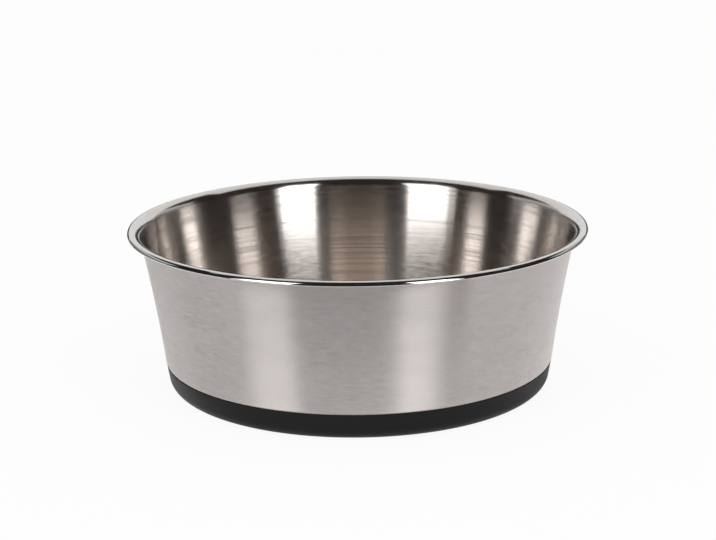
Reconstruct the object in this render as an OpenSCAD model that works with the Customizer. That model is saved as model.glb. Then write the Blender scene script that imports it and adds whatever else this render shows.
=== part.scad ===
// A free-standing stainless feeding bowl on a moulded rubber base.
// The bowl is one pressed sheet. Below the joint it steps inwards, and the rubber is bonded over
// the step, the bottom corner and the outer part of the floor, so that its side carries on the
// line of the steel wall. The underside is bare steel inside the rubber ring.
// Millimetres, +Z up. The origin is at the bowl's centre, on the surface that it stands on.

/* [Bowl] */
// Outside diameter over the rolled edge of the rim
rim_d = 250; // [236:1:290]
// Height from the surface the bowl stands on to the top of the rim
bowl_h = 88; // [60:1:120]
// Thickness of the stainless sheet
sheet_t = 0.7; // [0.5:0.05:1]
// Outside diameter of the wall where it meets the rubber
seam_d = 212.8; // [195:0.1:222]
// Height of the joint between steel and rubber
seam_h = 15.3; // [14.5:0.1:30]
// Radius of the wall's gentle flare between the joint and the rim, on its inner side
wall_flare_r = 850; // [500:10:5000]
// Radius inside the bowl between the wall and the floor
corner_r = 8.5; // [5:0.1:10]

/* [Rim] */
// Width of the flat part of the rim, between the rolled edge and the bend into the wall
rim_flat_w = 0.6; // [0.5:0.1:8]
// Radius of the bend from the rim into the wall, on its upper side
rim_bend_r = 5.4; // [2:0.1:8]
// Diameter of the hollow that the rolled edge bends round
curl_bore_d = 2.6; // [0.8:0.1:4]
// How far the edge is rolled, in degrees, where 90 ends it straight down and 285 nearly closes it
curl_turn = 95; // [90:1:285]

/* [Step behind the rubber] */
// Depth of the step, from the wall above it to the wall below it
step_w = 1.8; // [1.6:0.1:3]
// How far the sheet turns inwards at the step, in degrees
step_turn = 75; // [70:1:80]
// Inside radius of the bend at the step's outer edge
step_edge_r = 0.3; // [0.2:0.05:0.6]
// Inside radius of the bend at the step's root
step_root_r = 0.8; // [0.4:0.1:1]
// How far the sheet below the step leans outwards, in degrees
skirt_angle = 9; // [6:0.5:12]

/* [Bond] */
// Thickness of the adhesive film between steel and rubber
bond_t = 0.2; // [0.1:0.05:0.4]

/* [Rubber base] */
// Thickness of the rubber under the floor of the bowl
rubber_t = 3.2; // [2.5:0.1:5]
// Width of the rubber ring, from the wall's outer face at the joint in to where the bare steel begins
ring_w = 36.4; // [26:0.05:75]
// How far the foot's flat underside stops inside the wall's outer face at the joint
foot_set_in = 8.5; // [8:0.1:12]
// Radius of the outer bottom corner of the rubber
foot_corner_r = 7; // [4:0.1:9]
// Radius of the inner bottom edge of the rubber
foot_in_edge_r = 1.2; // [0.4:0.1:2]
// How far the rubber lies inside the line of the steel wall at the joint
lip_inset = 0; // [0:0.05:0.2]
// Radius of the rubber's upper edge
lip_r = 0.3; // [0.1:0.05:0.4]
// Number of grip grooves round the foot
groove_count = 3; // [0:1:5]
// Radius of each half-round grip groove
groove_r = 0.8; // [0.3:0.1:1.2]

/* [Fineness] */
// Largest turn between two points of a bend's outline, in degrees
arc_step = 7.5; // [3:0.5:15]
// Least number of straight steps in the wall's flare
wall_steps = 8; // [3:1:24]
// Sides of the preview round the bowl
round_sides = 180; // [60:12:360]

/* [Hidden] */

steel_colour = [0.72, 0.70, 0.68];
film_colour = [0.40, 0.36, 0.30];
rubber_colour = [0.14, 0.14, 0.15];

// Every outline is drawn in the plane of the axis, as [distance from the axis, height].
curl_r = curl_bore_d / 2 + sheet_t;
curl_c = [rim_d / 2 - curl_r, bowl_h - curl_r];
rim_bend_c = [curl_c.x - rim_flat_w, bowl_h - rim_bend_r];
floor_bottom = rubber_t + bond_t;
floor_top = floor_bottom + sheet_t;

// The wall is one long arc. Its centre lies outside the bowl, as far from the joint as its outer
// face is, and so far from the centre of the rim's bend that the two arcs touch.
seam_p = [seam_d / 2, seam_h];
to_rim = rim_bend_c - seam_p;
joint_reach = wall_flare_r - sheet_t;
rim_reach = wall_flare_r - rim_bend_r;
flare_along = (norm(to_rim) + (pow(joint_reach, 2) - pow(rim_reach, 2)) / norm(to_rim)) / 2;
flare_off = sqrt(pow(joint_reach, 2) - pow(flare_along, 2));
flare_c = seam_p + (flare_along * to_rim + flare_off * [to_rim.y, -to_rim.x]) / norm(to_rim);
joint_a = 180 - atan2(seam_p.y - flare_c.y, seam_p.x - flare_c.x);
rim_a = 180 - atan2(rim_bend_c.y - flare_c.y, rim_bend_c.x - flare_c.x);
wall_step_a = (rim_a - joint_a) / wall_steps;

// The step turns inwards round its edge, runs straight, and turns down again round its root.
// Below it the sheet is a skirt, which leans at its own angle whatever the wall above does.
edge_outer_r = step_edge_r + sheet_t;
edge_c = seam_p - edge_outer_r * direction(-joint_a);
step_down = direction(-skirt_angle - step_turn);
step_in = direction(-skirt_angle - step_turn - 90);
step_run = (step_w - (edge_outer_r + step_root_r) * (1 - cos(step_turn))) / sin(step_turn);
root_c = edge_c + (edge_outer_r + step_root_r) * step_down + step_run * step_in;

// The floor's corner touches the skirt and the floor.
skirt_up = direction(90 - skirt_angle);
corner_line_p = edge_c + (edge_outer_r - step_w - sheet_t - corner_r) * direction(-skirt_angle);
corner_c = corner_line_p + (floor_top + corner_r - corner_line_p.y) / skirt_up.y * skirt_up;

// The rubber's side runs straight from its upper edge down to where it touches its bottom corner.
foot_c = [seam_p.x - foot_set_in, foot_corner_r];
film_edge_r = edge_outer_r + bond_t;
lip_reach = (edge_outer_r - lip_inset - film_edge_r * cos(step_turn)) / sin(step_turn);
lip_tip = edge_c + film_edge_r * step_down - lip_reach * step_in;
to_lip = lip_tip - foot_c;
side_a = atan2(to_lip.y, to_lip.x) - acos(foot_corner_r / norm(to_lip));
lip_top_a = 180 - skirt_angle - step_turn;
lip_c = lip_tip - lip_r / cos((lip_top_a - side_a) / 2) * direction((lip_top_a + side_a) / 2);
foot_in_r = seam_p.x - ring_w;
groove_pitch = (foot_c.x - foot_in_r - foot_in_edge_r) / (groove_count + 1);

// A bend of the sheet: its centre, the radius of the sheet's upper face, 1 where the sheet lies
// outside that radius or -1 where it lies inside it, the angles where the bend starts and ends,
// and the least number of straight steps. The wall's arc leaves out its two ends, because the
// bends beside it end there.
curl_bend = [curl_c, curl_r, -1, 90 - curl_turn, 90, 1];
rim_bend = [rim_bend_c, rim_bend_r, -1, 90, 180 - rim_a, 1];
wall_bend = [flare_c, wall_flare_r, -1, 180 - rim_a + wall_step_a, 180 - joint_a - wall_step_a, wall_steps - 2];
edge_bend = [edge_c, step_edge_r, 1, -joint_a, -skirt_angle - step_turn, 1];
root_bend = [root_c, step_root_r + sheet_t, -1, 180 - skirt_angle - step_turn, 180 - skirt_angle, 1];
corner_bend = [corner_c, corner_r, 1, -skirt_angle, -90, 1];
bowl_bends = [curl_bend, rim_bend, wall_bend, edge_bend, root_bend, corner_bend];

function direction(a) = [cos(a), sin(a)];

function reversed(points) = [for (i = [len(points) - 1:-1:0]) points[i]];

// Points along an arc, in either direction.
function arc(centre, r, from, to, least = 1) =
    let (steps = max(least, ceil(abs(to - from) / arc_step)))
    [for (i = [0:steps]) centre + r * direction(from + (to - from) * i / steps)];

// The line that lies depth below the sheet's upper face, along the bends in order.
function sheet_line(bends, depth) =
    [for (b = bends) each arc(b[0], b[1] + b[2] * depth, b[3], b[4], b[5])];

// The line that lies depth below the sheet's upper face, from the step to the rubber's inner edge.
function bonded_line(depth) = concat(
    [edge_c + (step_edge_r + depth) * step_down],
    sheet_line([root_bend, corner_bend], depth),
    [[foot_in_r, floor_top - depth]]);

module turned() {
    rotate_extrude($fn = round_sides) children();
}

module steel_bowl() {
    color(steel_colour) turned() polygon(concat(
        sheet_line(bowl_bends, 0),
        [[0, floor_top], [0, floor_bottom]],
        reversed(sheet_line(bowl_bends, sheet_t))));
}

module bond_film() {
    color(film_colour) turned() polygon(concat(
        bonded_line(sheet_t),
        reversed(bonded_line(sheet_t + bond_t))));
}

module rubber_outline() {
    polygon(concat(
        bonded_line(sheet_t + bond_t),
        arc([foot_in_r + foot_in_edge_r, foot_in_edge_r], foot_in_edge_r, 180, 270),
        arc(foot_c, foot_corner_r, -90, side_a),
        arc(lip_c, lip_r, side_a, lip_top_a)));
}

module grip_grooves() {
    for (i = [1:1:groove_count])
        translate([foot_in_r + foot_in_edge_r + i * groove_pitch, 0]) circle(r = groove_r, $fn = 48);
}

module rubber_base() {
    color(rubber_colour) turned() difference() {
        rubber_outline();
        grip_grooves();
    }
}

steel_bowl();
bond_film();
rubber_base();
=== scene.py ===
# %% [markdown]
# # A stainless feeding bowl with a rubber foot
# The real object is one pressed steel sheet, with a black rubber ring bonded round its bottom.
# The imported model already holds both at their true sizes, but its round faces are made of flat
# strips, and polished steel shows every one of them. So the steel and the rubber are turned again
# here, as smooth meshes in the same place, and each surface gets its own finish.

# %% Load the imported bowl
import math
import bpy
from mathutils import Matrix


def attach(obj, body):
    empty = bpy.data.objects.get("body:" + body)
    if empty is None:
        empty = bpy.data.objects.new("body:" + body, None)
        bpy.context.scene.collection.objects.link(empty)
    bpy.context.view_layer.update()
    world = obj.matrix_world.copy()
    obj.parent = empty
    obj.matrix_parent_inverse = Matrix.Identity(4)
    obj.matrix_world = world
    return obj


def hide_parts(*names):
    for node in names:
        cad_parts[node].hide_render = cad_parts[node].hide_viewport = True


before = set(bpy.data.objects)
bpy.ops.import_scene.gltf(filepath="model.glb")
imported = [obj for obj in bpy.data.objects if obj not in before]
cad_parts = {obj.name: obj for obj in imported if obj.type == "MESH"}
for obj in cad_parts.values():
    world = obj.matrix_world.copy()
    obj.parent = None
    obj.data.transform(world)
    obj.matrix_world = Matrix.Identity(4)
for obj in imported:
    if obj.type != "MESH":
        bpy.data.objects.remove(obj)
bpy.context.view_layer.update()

MM = 0.001
scene = bpy.context.scene
scene.view_settings.view_transform = "Standard"

# %% [markdown]
# ## The camera
# The photograph was solved from the outlines of the rim, the joint and the foot. It was taken with
# a long lens about a metre away, 13.3 degrees above the rim, and held a little off level. The
# bowl's axis stands in the middle of the frame and the rim above it, so the camera tilts down past
# the rim's centre. No shift is needed.

# %% Set up the camera
SOLVED_RIM_HEIGHT = 0.08806
CAMERA_DISTANCE = 0.99490
CAMERA_ELEVATION = math.radians(13.281)
CAMERA_TILT = math.radians(75.232)
CAMERA_ROLL = math.radians(-0.6905)
SENSOR_WIDTH_MM = 36.0
LENS_MM = 91.79
FARTHEST_SEEN = 50.0

camera_data = bpy.data.cameras.new("camera")
camera_data.sensor_width = SENSOR_WIDTH_MM
camera_data.lens = LENS_MM
camera_data.clip_end = FARTHEST_SEEN
camera = bpy.data.objects.new("camera", camera_data)
scene.collection.objects.link(camera)
camera_place = (0.0, -CAMERA_DISTANCE * math.cos(CAMERA_ELEVATION),
                SOLVED_RIM_HEIGHT + CAMERA_DISTANCE * math.sin(CAMERA_ELEVATION))
camera.matrix_world = (Matrix.Translation(camera_place) @ Matrix.Rotation(CAMERA_TILT, 4, "X")
                       @ Matrix.Rotation(CAMERA_ROLL, 4, "Z"))
scene.camera = camera
print("camera at", [round(v, 4) for v in camera_place])

# %% [markdown]
# ## The bends of the sheet
# A pressed bowl is a figure of revolution: everything about its shape is in one outline beside the
# axis. The outline is a chain of bends joined by straights. Even the wall is a bend, though its
# radius is 850 mm: it leans a little more at the rim than at the rubber. Each bend is given by its
# centre, the radius of the sheet's upper face, the side that the sheet lies on, two angles, and how
# many degrees one step may turn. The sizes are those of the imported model, in millimetres. Only the
# rolled edge turns less, because its cut end is rounded here, and so it still reaches as low.

# %% Sizes of the sheet and its bends
SHEET = 0.7
JOINT_LEAN = 7.1456
RIM_LEAN = 11.8158
SKIRT_LEAN = 9.0
STEP_TURN = 75.0
ROLL_TURN = 83.7
FLOOR_TOP = 4.1
FLOOR_BOTTOM = FLOOR_TOP - SHEET
LEAST_STEPS = 2

ROLLED_EDGE = ((123.0, 86.0), 2.0, -1, 90 - ROLL_TURN, 90, 5.0)
RIM_BEND = ((122.4, 82.6), 5.4, -1, 90, 180 - RIM_LEAN, 3.0)
WALL_FLARE = ((949.1037, -90.3456), 850.0, -1, 180 - RIM_LEAN, 180 - JOINT_LEAN, 0.2)
STEP_EDGE = ((105.40777, 15.42439), 0.3, 1, -JOINT_LEAN, -SKIRT_LEAN - STEP_TURN, 12.5)
STEP_ROOT = ((105.11625, 13.58384), 1.5, -1, 180 - SKIRT_LEAN - STEP_TURN, 180 - SKIRT_LEAN, 7.5)
CORNER = ((94.83578, 12.6), 8.5, 1, -SKIRT_LEAN, -90, 3.0)


def heading(degrees):
    """The direction at that angle above level, as (outwards, up)."""
    return math.cos(math.radians(degrees)), math.sin(math.radians(degrees))


def on_arc(centre, radius, degrees):
    """The point of an arc at that angle."""
    outwards, up = heading(degrees)
    return centre[0] + radius * outwards, centre[1] + radius * up


def bend(centre, radius, start, end, step):
    """Points along an arc, from one angle to another in either direction."""
    count = max(LEAST_STEPS, math.ceil(abs(end - start) / step))
    return [on_arc(centre, radius, start + (end - start) * i / count) for i in range(count + 1)]


def sheet_face(chain, depth):
    """The line that lies depth below the sheet's upper face, along the bends in order."""
    return [point for centre, radius, side, start, end, step in chain
            for point in bend(centre, radius + side * depth, start, end, step)]


rim_width = on_arc(*ROLLED_EDGE[:2], 0)[0] - on_arc(*RIM_BEND[:2], 180 - RIM_LEAN)[0]
print("the rim is", round(rim_width, 2), "mm wide")

# %% [markdown]
# ## From a section to a line of points
# Smooth shading blends the direction of neighbouring faces. Where a long straight meets a bend,
# that blend would spread over the whole straight and bend its reflections. A point close to each
# end of a straight keeps the blend there. Each point also carries three marks for the finish: how
# far along the sheet it lies, whether it is inside the bowl, and whether it is polished.

# %% Make a line of points
GUARD = 0.25
LONG_STRAIGHT = 4.0


def guarded(points):
    """Adds a point close to each end of every long straight."""
    line = []
    for here, there in zip(points, points[1:]):
        line.append(here)
        length = math.dist(here[:2], there[:2])
        if length > LONG_STRAIGHT:
            for share in (GUARD / length, 1 - GUARD / length):
                line.append(tuple(a + (b - a) * share for a, b in zip(here, there)))
    return line + [points[-1]]


def section_line(name, points):
    """A mesh that is only the section's line. Each point is (outwards, up, inside, polished)."""
    line = guarded(points)
    along = [0.0]
    for here, there in zip(line, line[1:]):
        along.append(along[-1] + math.dist(here[:2], there[:2]) * MM)
    mesh = bpy.data.meshes.new(name)
    mesh.from_pydata([(point[0] * MM, 0.0, point[1] * MM) for point in line],
                     [(i, i + 1) for i in range(len(line) - 1)], [])
    marks = mesh.attributes.new("finish", "FLOAT_VECTOR", "POINT")
    marks.data.foreach_set("vector", [mark for reach, point in zip(along, line)
                                      for mark in (reach, point[2], point[3])])
    piece = bpy.data.objects.new(name, mesh)
    scene.collection.objects.link(piece)
    print(name, "has", len(line), "points along", round(along[-1] / MM, 1), "mm")
    return piece


print("a straight over", LONG_STRAIGHT, "mm gets a point", GUARD, "mm from each end")

# %% [markdown]
# ## The steel's section
# The line starts at the middle of the floor. It runs up the inside, over the rim, round the cut
# edge, and back down the outside to the middle of the underside. The polish fades in over the rim's
# bend, and out again under it. The wall leaves out its own two end points, because the bends beside
# it end there.

# %% Draw the steel's section
CUT_STEP = 15.0


def marked(points, inside, polished):
    """Gives every point of a run the same two marks."""
    return [(outwards, up, inside, polished) for outwards, up in points]


def fading(points, inside, start, end):
    """Marks a run whose polish changes evenly from its first point to its last."""
    last = len(points) - 1
    return [(outwards, up, inside, start + (end - start) * i / last)
            for i, (outwards, up) in enumerate(points)]


skirt_chain = [STEP_EDGE, STEP_ROOT, CORNER]
cut_middle = on_arc(ROLLED_EDGE[0], ROLLED_EDGE[1] - SHEET / 2, 90 - ROLL_TURN)
cut_edge = bend(cut_middle, SHEET / 2, 90 - ROLL_TURN, -90 - ROLL_TURN, CUT_STEP)[1:-1]
steel_points = (
    [(0.0, FLOOR_TOP, 1.0, 0.0)]
    + marked(sheet_face(skirt_chain, 0.0)[::-1], 1.0, 0.0)
    + marked(sheet_face([WALL_FLARE], 0.0)[-2:0:-1], 1.0, 0.0)
    + fading(sheet_face([RIM_BEND], 0.0)[::-1], 1.0, 0.0, 1.0)
    + marked(sheet_face([ROLLED_EDGE], 0.0)[::-1], 0.0, 1.0)
    + marked(cut_edge, 0.0, 1.0)
    + marked(sheet_face([ROLLED_EDGE], SHEET), 0.0, 1.0)
    + fading(sheet_face([RIM_BEND], SHEET), 0.0, 1.0, 0.0)
    + marked(sheet_face([WALL_FLARE], SHEET)[1:-1], 0.0, 0.0)
    + marked(sheet_face(skirt_chain, SHEET), 0.0, 0.0)
    + [(0.0, FLOOR_BOTTOM, 0.0, 0.0)])
steel_bowl = section_line("steel_bowl_turned", steel_points)

# %% [markdown]
# ## A lathe of Geometry Nodes
# A spinner makes such a bowl on a lathe, and Geometry Nodes can do the same. The tree is given a
# section, the number of steps round, the angle above which an edge stays sharp, and a finish. It
# starts from a flat grid, with one row for each point of the section and one column for each step
# round. The same tree turns the steel and the rubber.

# %% Give the lathe its inputs and its grid
def put(tree, kind, inputs=None, **settings):
    """Adds a node, sets its properties, and gives its inputs values or other nodes' outputs."""
    node = tree.nodes.new(kind)
    for name, value in settings.items():
        setattr(node, name, value)
    for slot, value in (inputs or {}).items():
        if isinstance(value, bpy.types.NodeSocket):
            tree.links.new(value, node.inputs[slot])
        else:
            node.inputs[slot].default_value = value
    return node


def maths(tree, operation, *values):
    """The result of a calculation with one or two values, each a number or an output."""
    return put(tree, "ShaderNodeMath", dict(enumerate(values)), operation=operation).outputs[0]


lathe = bpy.data.node_groups.new("lathe", "GeometryNodeTree")
lathe.is_modifier = True
lathe.interface.new_socket(name="Section", in_out="INPUT", socket_type="NodeSocketGeometry")
steps_socket = lathe.interface.new_socket(
    name="Steps round", in_out="INPUT", socket_type="NodeSocketInt")
crease_socket = lathe.interface.new_socket(
    name="Crease above", in_out="INPUT", socket_type="NodeSocketFloat")
finish_socket = lathe.interface.new_socket(
    name="Finish", in_out="INPUT", socket_type="NodeSocketMaterial")
lathe.interface.new_socket(name="Turned piece", in_out="OUTPUT", socket_type="NodeSocketGeometry")

given = put(lathe, "NodeGroupInput").outputs
section_size = put(lathe, "GeometryNodeAttributeDomainSize", {"Geometry": given["Section"]})
rows = section_size.outputs["Point Count"]
columns = maths(lathe, "ADD", given["Steps round"], 1.0)
grid = put(lathe, "GeometryNodeMeshGrid", {"Vertices X": rows, "Vertices Y": columns})
print("the lathe is given", [socket.name for socket in given if socket.name])

# %% [markdown]
# ## Bending the grid into a ring
# The grid's points are numbered along its rows, so a point's number gives its row and column. Half
# a step is added before the division, which keeps rounding away from the whole numbers. A point
# takes its radius, its height and its marks from its row, and its angle from its column.

# %% Place every point of the grid
index = put(lathe, "GeometryNodeInputIndex").outputs[0]
row = maths(lathe, "FLOOR", maths(lathe, "DIVIDE", maths(lathe, "ADD", index, 0.5), columns))
column = maths(lathe, "SUBTRACT", index, maths(lathe, "MULTIPLY", row, columns))
share_round = maths(lathe, "DIVIDE", column, given["Steps round"])
angle = maths(lathe, "MULTIPLY", share_round, 2 * math.pi)


def at_row(field):
    """What the section holds at this point's row."""
    sampled = put(lathe, "GeometryNodeSampleIndex", {"Geometry": given["Section"], "Index": row},
                  data_type="FLOAT_VECTOR", domain="POINT")
    lathe.links.new(field, sampled.inputs["Value"])
    return sampled.outputs["Value"]


section_place = at_row(put(lathe, "GeometryNodeInputPosition").outputs[0])
ring = put(lathe, "ShaderNodeSeparateXYZ", {0: section_place}).outputs
marks = put(lathe, "GeometryNodeInputNamedAttribute", {"Name": "finish"}, data_type="FLOAT_VECTOR")
place = put(lathe, "ShaderNodeCombineXYZ", {
    0: maths(lathe, "MULTIPLY", ring[0], maths(lathe, "COSINE", angle)),
    1: maths(lathe, "MULTIPLY", ring[0], maths(lathe, "SINE", angle)),
    2: ring[2]})
turned = put(lathe, "GeometryNodeSetPosition", {
    "Geometry": grid.outputs["Mesh"], "Position": place.outputs[0]})
kept = put(lathe, "GeometryNodeStoreNamedAttribute", {
    "Geometry": turned.outputs[0], "Name": "finish", "Value": at_row(marks.outputs["Attribute"])},
    data_type="FLOAT_VECTOR", domain="POINT")
print("the lathe has", len(lathe.nodes), "nodes so far")

# %% [markdown]
# ## Closing and smoothing it
# The last column lands on the first, and the rows on the axis shrink to a point, so merging closes
# the seam and the poles. All faces are smooth, but an edge sharper than the crease angle stays
# sharp. The tree ends with a plain mesh that has its finish.

# %% Close and smooth the ring
MERGE_DISTANCE = 1e-6

closed = put(lathe, "GeometryNodeMergeByDistance", {
    "Geometry": kept.outputs[0], "Distance": MERGE_DISTANCE})
smooth = put(lathe, "GeometryNodeSetShadeSmooth", {
    "Geometry": closed.outputs[0], "Shade Smooth": True})
edge_angle = put(lathe, "GeometryNodeInputMeshEdgeAngle").outputs["Unsigned Angle"]
creased = maths(lathe, "GREATER_THAN", edge_angle, given["Crease above"])
sharp = put(lathe, "GeometryNodeSetShadeSmooth", {
    "Geometry": smooth.outputs[0], "Selection": creased, "Shade Smooth": False}, domain="EDGE")
solid = put(lathe, "GeometryNodeRealizeInstances", {"Geometry": sharp.outputs[0]})
finished = put(lathe, "GeometryNodeSetMaterial", {
    "Geometry": solid.outputs[0], "Material": given["Finish"]})
put(lathe, "NodeGroupOutput", {"Turned piece": finished.outputs[0]})
print("the lathe has", len(lathe.nodes), "nodes")

# %% [markdown]
# ## The steel's finish
# The wall is satin: a belt has run round it and left fine lines. The inside was spun on a lathe,
# which leaves wider marks, and the rim and its rolled edge were polished bright afterwards. All of
# it is one sheet, so it is one material, and the marks on the points say which finish is where.
# Every pattern on it is noise, drawn round a ring so that it closes, and stretched: the wider the
# ring, the shorter its streaks, and the greater the rise for each metre, the finer they are.

# %% Start the steel's material and its patterns
LEAST_RADIUS = 1e-5


def new_material(name):
    """A new material, its tree and its shader."""
    material = bpy.data.materials.new(name)
    material.use_nodes = True
    tree = material.node_tree
    return material, tree, tree.nodes["Principled BSDF"]


def read_marks(tree):
    """The marks of a point: how far along the sheet it lies, inside, and polished."""
    marks = put(tree, "ShaderNodeAttribute", attribute_name="finish").outputs["Vector"]
    return put(tree, "ShaderNodeSeparateXYZ", {0: marks}).outputs


def round_axis(tree, ring_radius, rise):
    """A place on a ring round the axis, which rises as the point lies further along the sheet."""
    place = put(tree, "ShaderNodeTexCoord").outputs["Object"]
    spot = put(tree, "ShaderNodeSeparateXYZ", {0: place}).outputs
    along = read_marks(tree)[0]
    square = maths(tree, "ADD", maths(tree, "MULTIPLY", spot[0], spot[0]),
                   maths(tree, "MULTIPLY", spot[1], spot[1]))
    radius = maths(tree, "MAXIMUM", maths(tree, "SQRT", square), LEAST_RADIUS)
    return put(tree, "ShaderNodeCombineXYZ", {
        0: maths(tree, "MULTIPLY", maths(tree, "DIVIDE", spot[0], radius), ring_radius),
        1: maths(tree, "MULTIPLY", maths(tree, "DIVIDE", spot[1], radius), ring_radius),
        2: maths(tree, "MULTIPLY", along, rise)}).outputs[0]


def streaks(tree, ring_radius, rise, detail, roughness):
    """Noise from about 0 to 1 in level streaks."""
    return put(tree, "ShaderNodeTexNoise", {
        "Vector": round_axis(tree, ring_radius, rise), "Scale": 1.0,
        "Detail": detail, "Roughness": roughness}).outputs["Fac"]


stainless, tree, shader = new_material("stainless_spun")
_, inside, polished = read_marks(tree)
fine_lines = streaks(tree, ring_radius=26.0, rise=2600.0, detail=3.0, roughness=0.6)
wide_lines = streaks(tree, ring_radius=16.0, rise=900.0, detail=3.0, roughness=0.6)
handling = streaks(tree, ring_radius=3.2, rise=75.0, detail=3.0, roughness=0.5)
sway = streaks(tree, ring_radius=1.8, rise=800.0, detail=4.0, roughness=0.65)
spin_noise = streaks(tree, ring_radius=0.5, rise=760.0, detail=3.0, roughness=0.7)
print(stainless.name, "has 5 patterns of", len(tree.nodes), "nodes")

# %% [markdown]
# ## The steel's colour
# Steel is never one even grey. On the satin wall the fine lines change its shade, and so do the
# faint patches that hands and rinsing leave. Inside, the wide lines do, and some rows are darker
# where the spinning tool pressed harder. The polished rim is even. The satin wall's whole range is
# set darker than the polished steel: partly the duller tone of belted steel, and partly painted
# shade for the darker floor that the wall reflects in front.

# %% Colour the steel
# The satin colours are partly painted shade: set darker to stand in for the darker floor that the
# wall reflects.
SATIN_DARK = (0.575, 0.535, 0.521, 1.0)
SATIN_LIGHT = (0.675, 0.631, 0.614, 1.0)
SPUN_DARK = (0.60, 0.56, 0.53, 1.0)
SPUN_LIGHT = (0.79, 0.745, 0.71, 1.0)
POLISHED = (0.74, 0.73, 0.715, 1.0)
MARK_STARTS, MARK_FULL = 0.48, 0.64
MARK_SHADE = 0.5


def spread(tree, value, low, high, start=0.3, end=0.7):
    """Stretches the part of a noise between start and end to run from low to high."""
    return put(tree, "ShaderNodeMapRange", {
        "Value": value, "From Min": start, "From Max": end,
        "To Min": low, "To Max": high}).outputs[0]


def mixed(tree, share, low, high, kind="FLOAT"):
    """A value or colour between low and high."""
    first = {"FLOAT": 2, "RGBA": 6}[kind]
    node = put(tree, "ShaderNodeMix", {0: share, first: low, first + 1: high}, data_type=kind)
    return node.outputs[{"FLOAT": 0, "RGBA": 2}[kind]]


satin_share = maths(tree, "ADD", spread(tree, fine_lines, 0.0, 0.5),
                    spread(tree, handling, 0.0, 0.5))
satin_colour = mixed(tree, satin_share, SATIN_DARK, SATIN_LIGHT, "RGBA")
spin_marks = spread(tree, spin_noise, 0.0, 1.0, MARK_STARTS, MARK_FULL)
spun_share = maths(tree, "SUBTRACT", spread(tree, wide_lines, 0.5, 1.0),
                   maths(tree, "MULTIPLY", spin_marks, MARK_SHADE))
spun_colour = mixed(tree, spun_share, SPUN_DARK, SPUN_LIGHT, "RGBA")
lined_colour = mixed(tree, inside, satin_colour, spun_colour, "RGBA")
steel_colour = mixed(tree, polished, lined_colour, POLISHED, "RGBA")
print("satin steel runs from", SATIN_DARK[:3], "to", SATIN_LIGHT[:3])

# %% [markdown]
# ## How rough the steel is
# A belt leaves steel much rougher than a lathe does, and polish leaves it nearly a mirror. In each
# finish the roughness also varies a little, from row to row and from patch to patch, so that a
# bright band isn't one flat white.

# %% Roughen the steel
SATIN_ROUGH = (0.33, 0.39)
SPUN_ROUGH = (0.15, 0.20)
POLISHED_ROUGH = (0.05, 0.09)
HANDLING_ROUGH = 0.02
MARK_ROUGH = 0.05

satin_rough = maths(tree, "ADD", spread(tree, wide_lines, *SATIN_ROUGH),
                    spread(tree, handling, -HANDLING_ROUGH, HANDLING_ROUGH))
spun_rough = maths(tree, "ADD", spread(tree, wide_lines, *SPUN_ROUGH),
                   maths(tree, "MULTIPLY", spin_marks, MARK_ROUGH))
lined_rough = mixed(tree, inside, satin_rough, spun_rough)
steel_rough = mixed(tree, polished, lined_rough, spread(tree, handling, *POLISHED_ROUGH))
print("roughness of satin, spun and polished steel:", SATIN_ROUGH, SPUN_ROUGH, POLISHED_ROUGH)

# %% [markdown]
# ## Which way the lines run
# Across fine lines the surface is rough, along them it is smooth, so every light smears into an
# upright band. That is what anisotropy does, with its tangent round the axis and turned a quarter.
# The belt's lines climb or sink a little on their way round, so the bands outside lean. The lathe's
# lines are level. Both sway from row to row, which makes the edges of the bands waver. The lines
# have some depth as well, and only the polished steel has none.

# %% Lay the lines and finish the steel
FINE_DEPTH = 0.4
RELIEF_STRENGTH = 0.15
RELIEF_DEPTH = 0.00001
BELT_CLIMB = -0.087
MOST_SWAY = 0.03
QUARTER_TURN = 0.25


def lead(tree, shader, patterns):
    """Leads each pattern to the shader's input of that name."""
    for slot, pattern in patterns.items():
        tree.links.new(pattern, shader.inputs[slot])


height = maths(tree, "ADD", maths(tree, "MULTIPLY", fine_lines, FINE_DEPTH), wide_lines)
relief = maths(tree, "MULTIPLY", height, maths(tree, "SUBTRACT", 1.0, polished))
bump = put(tree, "ShaderNodeBump", {
    "Strength": RELIEF_STRENGTH, "Distance": RELIEF_DEPTH, "Height": relief})
round_tangent = put(tree, "ShaderNodeTangent", direction_type="RADIAL", axis="Z").outputs[0]
climb_here = maths(tree, "ADD", mixed(tree, inside, BELT_CLIMB, 0.0),
                   spread(tree, sway, -MOST_SWAY, MOST_SWAY))
climb = put(tree, "ShaderNodeCombineXYZ", {2: climb_here}).outputs[0]
line_run = put(tree, "ShaderNodeVectorMath", {0: round_tangent, 1: climb}, operation="ADD")
lead(tree, shader, {"Base Color": steel_colour, "Roughness": steel_rough,
                    "Normal": bump.outputs[0], "Tangent": line_run.outputs[0]})
shader.inputs["Metallic"].default_value = 1.0
shader.inputs["Anisotropic"].default_value = 1.0
shader.inputs["Anisotropic Rotation"].default_value = QUARTER_TURN
print(stainless.name, "has", len(tree.nodes), "nodes")

# %% [markdown]
# ## Turning the steel
# The lathe is put on the section as a modifier, and its inputs are set by their identifiers. What
# it makes is then copied as a plain mesh, and the modifier goes, so that nothing is left to compute
# when the model is used elsewhere.

# %% Turn the steel
STEEL_STEPS = 384
CREASE = 35.0


def turn(piece, steps, crease, finish):
    """Turns a section's line into the whole piece, as a plain mesh."""
    modifier = piece.modifiers.new("lathe", "NODES")
    modifier.node_group = lathe
    modifier[steps_socket.identifier] = steps
    modifier[crease_socket.identifier] = math.radians(crease)
    modifier[finish_socket.identifier] = finish
    evaluated = piece.evaluated_get(bpy.context.evaluated_depsgraph_get())
    mesh = bpy.data.meshes.new_from_object(evaluated)
    mesh.materials.clear()
    mesh.materials.append(finish)
    mesh.polygons.foreach_set("material_index", [0] * len(mesh.polygons))
    piece.modifiers.clear()
    piece.data = mesh
    print(piece.name, "has", len(mesh.polygons), "faces in", finish.name)


turn(steel_bowl, STEEL_STEPS, CREASE, stainless)

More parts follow.
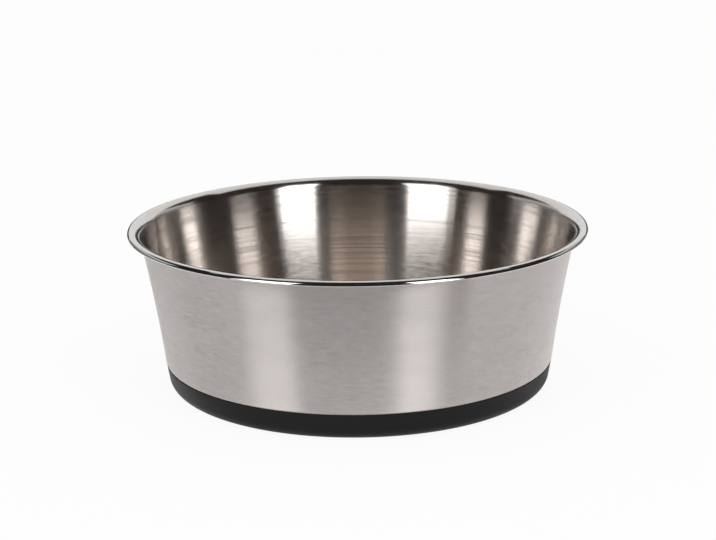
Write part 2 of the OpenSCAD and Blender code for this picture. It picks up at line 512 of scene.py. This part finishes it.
# %% [markdown]
# ## The rubber ring
# The ring was moulded onto the steel, so its upper face follows the sheet: down from the joint,
# round the step and the bottom corner, and in under the floor. Its own side runs down from a
# narrow lip to a large soft corner. Underneath, three half-round grooves help it to grip. It goes
# on the same lathe, as a section that closes on itself.

# %% Draw the rubber's section
FOOT_CORNER = ((97.9, 7.0), 7.0)
SIDE = -9.6523
LIP = ((105.88094, 13.96586), 0.3)
LIP_TOP = 96.0
RING_INNER = 70.0
RING_EDGE = 1.2
GROOVE = 0.8
GROOVE_COUNT = 3
FILM = 0.2
LIP_STEP = 12.0
FOOT_STEP = 4.0
GROOVE_STEP = 15.0
EDGE_STEP = 10.0

groove_pitch = (FOOT_CORNER[0][0] - RING_INNER - RING_EDGE) / (GROOVE_COUNT + 1)
underside = []
for i in range(GROOVE_COUNT, 0, -1):
    middle = RING_INNER + RING_EDGE + i * groove_pitch
    underside += bend((middle, 0.0), GROOVE, 0, 180, GROOVE_STEP)
bonded_start = on_arc(STEP_EDGE[0], STEP_EDGE[1] + SHEET + FILM, -SKIRT_LEAN - STEP_TURN)
bonded_end = (RING_INNER, FLOOR_BOTTOM - FILM)
bonded = [bonded_start] + sheet_face([STEP_ROOT, CORNER], SHEET + FILM) + [bonded_end]
rubber_outline = (
    bonded[::-1]
    + bend(*LIP, LIP_TOP, SIDE, LIP_STEP)
    + bend(*FOOT_CORNER, SIDE, -90, FOOT_STEP)
    + underside
    + bend((RING_INNER + RING_EDGE, RING_EDGE), RING_EDGE, 270, 180, EDGE_STEP)
    + [bonded_end])
rubber_ring = section_line("rubber_ring_turned", marked(rubber_outline, 0.0, 0.0))

# %% [markdown]
# ## The rubber's finish
# Moulded rubber is nearly black and dull. Some of its wax comes to the surface as a faint bloom, in
# streaks that the mould and the hands have drawn round it, and where it does the rubber is a little
# lighter and rougher. A fine grain from the mould breaks up what gloss is left. Rubber reflects
# less than hard plastic, so its specular level is low.

# %% Finish and turn the rubber
BLACK_RUBBER = (0.007, 0.007, 0.008, 1.0)
BLOOMED_RUBBER = (0.010, 0.010, 0.011, 1.0)
RUBBER_ROUGH = (0.42, 0.58)
RUBBER_SPECULAR = 0.14
GRAIN_STRENGTH = 0.3
GRAIN_DEPTH = 0.00003
RUBBER_STEPS = 288


def mottle(tree, scale, detail):
    """Noise from about 0 to 1 that is the same in every direction."""
    place = put(tree, "ShaderNodeTexCoord").outputs["Object"]
    return put(tree, "ShaderNodeTexNoise", {
        "Vector": place, "Scale": scale, "Detail": detail}).outputs["Fac"]


rubber, tree, shader = new_material("rubber_moulded")
bloom = streaks(tree, ring_radius=2.5, rise=90.0, detail=4.0, roughness=0.6)
grain = mottle(tree, scale=2600.0, detail=2.0)
rubber_bump = put(tree, "ShaderNodeBump", {
    "Strength": GRAIN_STRENGTH, "Distance": GRAIN_DEPTH, "Height": grain})
lead(tree, shader, {
    "Base Color": mixed(tree, spread(tree, bloom, 0.0, 1.0), BLACK_RUBBER, BLOOMED_RUBBER, "RGBA"),
    "Roughness": spread(tree, bloom, *RUBBER_ROUGH),
    "Normal": rubber_bump.outputs[0]})
shader.inputs["Specular IOR Level"].default_value = RUBBER_SPECULAR
turn(rubber_ring, RUBBER_STEPS, CREASE, rubber)

# %% [markdown]
# ## The adhesive
# The film between steel and rubber shows only as a hair line at the ring's inner edge. The packed
# solid has the right shape, so it stays, and only gets the look of cured adhesive: dull, brownish
# and a little cloudy.

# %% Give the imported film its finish
DARK_FILM = (0.34, 0.30, 0.24, 1.0)
CLOUDY_FILM = (0.44, 0.40, 0.33, 1.0)
FILM_ROUGH = (0.5, 0.7)

adhesive, tree, shader = new_material("adhesive_cured")
cloud = mottle(tree, scale=180.0, detail=3.0)
lead(tree, shader, {
    "Base Color": mixed(tree, spread(tree, cloud, 0.0, 1.0), DARK_FILM, CLOUDY_FILM, "RGBA"),
    "Roughness": spread(tree, cloud, *FILM_ROUGH)})
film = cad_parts["bond_film"]
film.data.materials.clear()
film.data.materials.append(adhesive)
print("film finish:", film.material_slots[0].material.name)

# %% [markdown]
# ## The floor
# The bowl stands on a wide pale floor, which is as white as paper in the photograph. Rays from the
# camera, and rays that steel has turned, see a floor that mostly glows white by itself, and for the
# rest takes the light and the bowl's shadow. All other rays meet plain pale paint. The floor lies a
# hair under the foot, so that no two faces share a plane, and it is clear from below, so that the
# underside can be looked at.

# %% Lay the floor
PAPER_PAINT = (0.85, 0.85, 0.85, 1.0)
PAPER_ROUGH = 0.9
PAPER_GLOW = 0.92
WHITE = (1.0, 1.0, 1.0, 1.0)
FLOOR_REACH = 4.0
FLOOR_GAP = 0.0001


def seen_rays(tree):
    """One for rays that show the background: the camera's, and those from metal or glass."""
    path = put(tree, "ShaderNodeLightPath").outputs
    shown = maths(tree, "MAXIMUM", path["Is Camera Ray"], path["Is Glossy Ray"])
    return maths(tree, "MAXIMUM", shown, path["Is Transmission Ray"])


def studio_mesh(name, corners, paint, faces=None):
    """A flat part of the studio: one face round all its corners, unless its faces are given."""
    mesh = bpy.data.meshes.new(name)
    mesh.from_pydata(corners, [], faces or [tuple(range(len(corners)))])
    mesh.materials.append(paint)
    piece = bpy.data.objects.new(name, mesh)
    scene.collection.objects.link(piece)
    return piece


paper, tree, shader = new_material("floor_paper")
shader.inputs["Base Color"].default_value = PAPER_PAINT
shader.inputs["Roughness"].default_value = PAPER_ROUGH
glow = put(tree, "ShaderNodeEmission", {"Color": WHITE, "Strength": 1.0})
glowing = put(tree, "ShaderNodeMixShader", {
    0: maths(tree, "MULTIPLY", seen_rays(tree), PAPER_GLOW),
    1: shader.outputs[0], 2: glow.outputs[0]})
clear_below = put(tree, "ShaderNodeMixShader", {
    0: put(tree, "ShaderNodeNewGeometry").outputs["Backfacing"],
    1: glowing.outputs[0], 2: put(tree, "ShaderNodeBsdfTransparent").outputs[0]})
tree.links.new(clear_below.outputs[0], tree.nodes["Material Output"].inputs["Surface"])
floor_corners = [(x * FLOOR_REACH, y * FLOOR_REACH, -FLOOR_GAP)
                 for x, y in ((-1, -1), (1, -1), (1, 1), (-1, 1))]
floor = studio_mesh("floor", floor_corners, paper)
print("floor", [round(v, 2) for v in floor.dimensions], "m")

# %% [markdown]
# ## The white room
# The world does what the floor does: it is white for the rays that show the background, and a plain
# level of light for all others.

# %% Light the room
ROOM_LIGHT = 0.85

world = bpy.data.worlds.new("studio")
world.use_nodes = True
tree = world.node_tree
extra_glow = maths(tree, "MULTIPLY", seen_rays(tree), 1.0 - ROOM_LIGHT)
lit = maths(tree, "ADD", extra_glow, ROOM_LIGHT)
tree.links.new(lit, tree.nodes["Background"].inputs["Strength"])
tree.nodes["Background"].inputs["Color"].default_value = WHITE
scene.world = world
print("room light", ROOM_LIGHT)

# %% [markdown]
# ## Two softboxes
# Polished steel shows its surroundings, and a bowl shows nearly all of them. The photograph's
# upright bands are two tall softboxes, left and right of the camera. Places in the studio are given
# by their azimuth round the bowl, in degrees, with 0 at the camera and 90 at its right.

# %% Hang the softboxes
LAMP_DISTANCE = 1.3


def facing(azimuth, distance, sideways, up):
    """A place in the studio, seen from the bowl."""
    a = math.radians(azimuth)
    return (distance * math.sin(a) + sideways * math.cos(a),
            -distance * math.cos(a) + sideways * math.sin(a), up)


def softbox(name, azimuth, width, bottom, top, brightness):
    """An upright rectangular lamp whose face is as bright as that, where 1 is white."""
    data = bpy.data.lights.new(name, "AREA")
    data.shape = "RECTANGLE"
    data.size, data.size_y = width, top - bottom
    data.energy = brightness * math.pi * width * (top - bottom)
    lamp = bpy.data.objects.new(name, data)
    middle = facing(azimuth, LAMP_DISTANCE, 0.0, (bottom + top) / 2)
    lamp.matrix_world = (
        Matrix.Translation(middle) @ Matrix.Rotation(math.radians(azimuth), 4, "Z")
        @ Matrix.Rotation(math.radians(-90), 4, "X") @ Matrix.Rotation(math.radians(180), 4, "Y"))
    lamp.visible_camera = False
    scene.collection.objects.link(lamp)
    print(name, "at", azimuth, "degrees,", round(data.energy, 1), "W")


softbox("softbox_left", azimuth=-43.0, width=0.57, bottom=0.19, top=1.4, brightness=1.9)
softbox("softbox_right", azimuth=36.0, width=0.48, bottom=0.19, top=1.4, brightness=2.7)

# %% [markdown]
# ## Paint for the cards
# The rest of what the steel shows are cards. Behind the bowl stands a pale card, which the rim
# shows, with a black one below and a sheet above. The middle of the inside shows that sheet by way
# of two reflections, and it is brown there, while the rim, which shows it directly, is not. So its
# paint looks at how often a ray was turned: warm from the second time on, and pale before. That
# brown is a painted reflection, not a colour the card has under any lamp.

# %% Mix the paints
CARD_ROUGH = 1.0
WARM_FIRST = (0.85, 0.82, 0.81, 1.0)
WARM_LATER = (0.87, 0.67, 0.52, 1.0)
MORE_THAN_ONE_TURN = 1.5


def plain_paint(name, colour):
    """A dull paint of one colour."""
    paint, _, shader = new_material(name)
    shader.inputs["Base Color"].default_value = colour
    shader.inputs["Roughness"].default_value = CARD_ROUGH
    return paint


black_card = plain_paint("card_black", (0.016, 0.013, 0.011, 1.0))
dark_card = plain_paint("card_dark", (0.20, 0.20, 0.20, 1.0))
grey_card = plain_paint("card_grey", (0.55, 0.55, 0.55, 1.0))
pale_card = plain_paint("card_pale", (0.87, 0.87, 0.87, 1.0))
warm_card, tree, shader = new_material("card_warm")
# Painted reflection: the card is brown only where it is seen after two reflections.
turns_so_far = put(tree, "ShaderNodeLightPath").outputs["Ray Depth"]
second_look = maths(tree, "GREATER_THAN", turns_so_far, MORE_THAN_ONE_TURN)
lead(tree, shader, {"Base Color": mixed(tree, second_look, WARM_FIRST, WARM_LATER, "RGBA")})
shader.inputs["Roughness"].default_value = CARD_ROUGH
print("paints:", [paint.name for paint in (black_card, dark_card, grey_card, pale_card, warm_card)])

# %% [markdown]
# ## The cards
# Black cards beside the softboxes and on the floor in front make the dark between the bright bands.
# At the sides and the back, three cards stand one above the other, and their borders set how high
# each grey reaches on the rim and in the second reflections. The cards only matter to the steel, so
# the camera and the plain light pass through them.

# %% Hang the cards
CARD_DISTANCE = 1.35
CARD_TOP = 1.6
FULL_HEIGHT = (0.0, CARD_TOP)
SIDE_BORDERS = (0.42, 0.76)
BACK_BORDERS = (0.29, 0.61)
CARD_ON_FLOOR = 0.001
FLOOR_CARD_STEP = 7.5
FLOOR_CARD_START = 0.26
FLOOR_CARD_SPLIT = 0.8
OVERHEAD_REACH = 1.6
OVERHEAD_SPLIT = 0.5


def seen_by_steel_only(sheet):
    """Lets the camera, the plain light and the lamps pass through a card."""
    sheet.visible_camera = False
    sheet.visible_diffuse = False
    sheet.visible_shadow = False


def card(name, azimuths, heights, paint):
    """An upright sheet beside the bowl, from one azimuth and height to another."""
    bottom, top = heights
    first, last = azimuths
    middle, half = (first + last) / 2, math.radians(last - first) / 2
    near, wide = CARD_DISTANCE * math.cos(half), CARD_DISTANCE * math.sin(half)
    corners = [facing(middle, near, -wide, bottom), facing(middle, near, wide, bottom),
               facing(middle, near, wide, top), facing(middle, near, -wide, top)]
    seen_by_steel_only(studio_mesh(name, corners, paint))


def stack(name, azimuths, borders, paints):
    """Three cards one above the other, which meet at the two borders."""
    low, high = borders
    heights = ((0.0, low), (low, high), (high, CARD_TOP))
    for ending, reach, paint in zip(("_low", "", "_high"), heights, paints):
        card(name + ending, azimuths, reach, paint)


def ring_card(name, azimuths, inner, outer, paint):
    """A flat part of a ring on the floor round the bowl, from one azimuth to another."""
    first, last = azimuths
    count = math.ceil((last - first) / FLOOR_CARD_STEP)
    corners = [facing(first + (last - first) * i / count, reach, 0.0, CARD_ON_FLOOR)
               for i in range(count + 1) for reach in (inner, outer)]
    faces = [(2 * i, 2 * i + 1, 2 * i + 3, 2 * i + 2) for i in range(count)]
    seen_by_steel_only(studio_mesh(name, corners, paint, faces))


def overhead_card(name, front, back, paint):
    """A sheet that lies level above the studio."""
    corners = [(x, y, CARD_TOP) for x, y in (
        (-OVERHEAD_REACH, front), (OVERHEAD_REACH, front),
        (OVERHEAD_REACH, back), (-OVERHEAD_REACH, back))]
    seen_by_steel_only(studio_mesh(name, corners, paint))


card("card_front", (-30.0, 25.0), FULL_HEIGHT, black_card)
card("card_left_front", (-100.0, -60.0), FULL_HEIGHT, black_card)
stack("card_left_back", (-148.0, -100.0), SIDE_BORDERS, (dark_card, grey_card, black_card))
card("card_right_front", (49.0, 75.0), FULL_HEIGHT, black_card)
card("card_right_middle", (75.0, 110.0), FULL_HEIGHT, black_card)
stack("card_right_back", (110.0, 148.0), SIDE_BORDERS, (dark_card, grey_card, black_card))
stack("card_back_right", (148.0, 180.0), BACK_BORDERS, (black_card, pale_card, warm_card))
stack("card_back_left", (180.0, 212.0), BACK_BORDERS, (black_card, pale_card, warm_card))
ring_card("card_round_floor", (-135.0, 135.0), FLOOR_CARD_SPLIT, CARD_DISTANCE, black_card)
ring_card("card_front_floor", (-55.0, 50.0), FLOOR_CARD_START, FLOOR_CARD_SPLIT, black_card)
overhead_card("card_overhead", -OVERHEAD_REACH, OVERHEAD_SPLIT, black_card)
overhead_card("card_overhead_back", OVERHEAD_SPLIT, OVERHEAD_REACH, pale_card)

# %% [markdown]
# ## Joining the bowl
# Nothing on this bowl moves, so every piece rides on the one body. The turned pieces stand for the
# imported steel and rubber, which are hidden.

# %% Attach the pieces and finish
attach(steel_bowl, "root")
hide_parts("steel_bowl")
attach(rubber_ring, "root")
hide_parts("rubber_base")
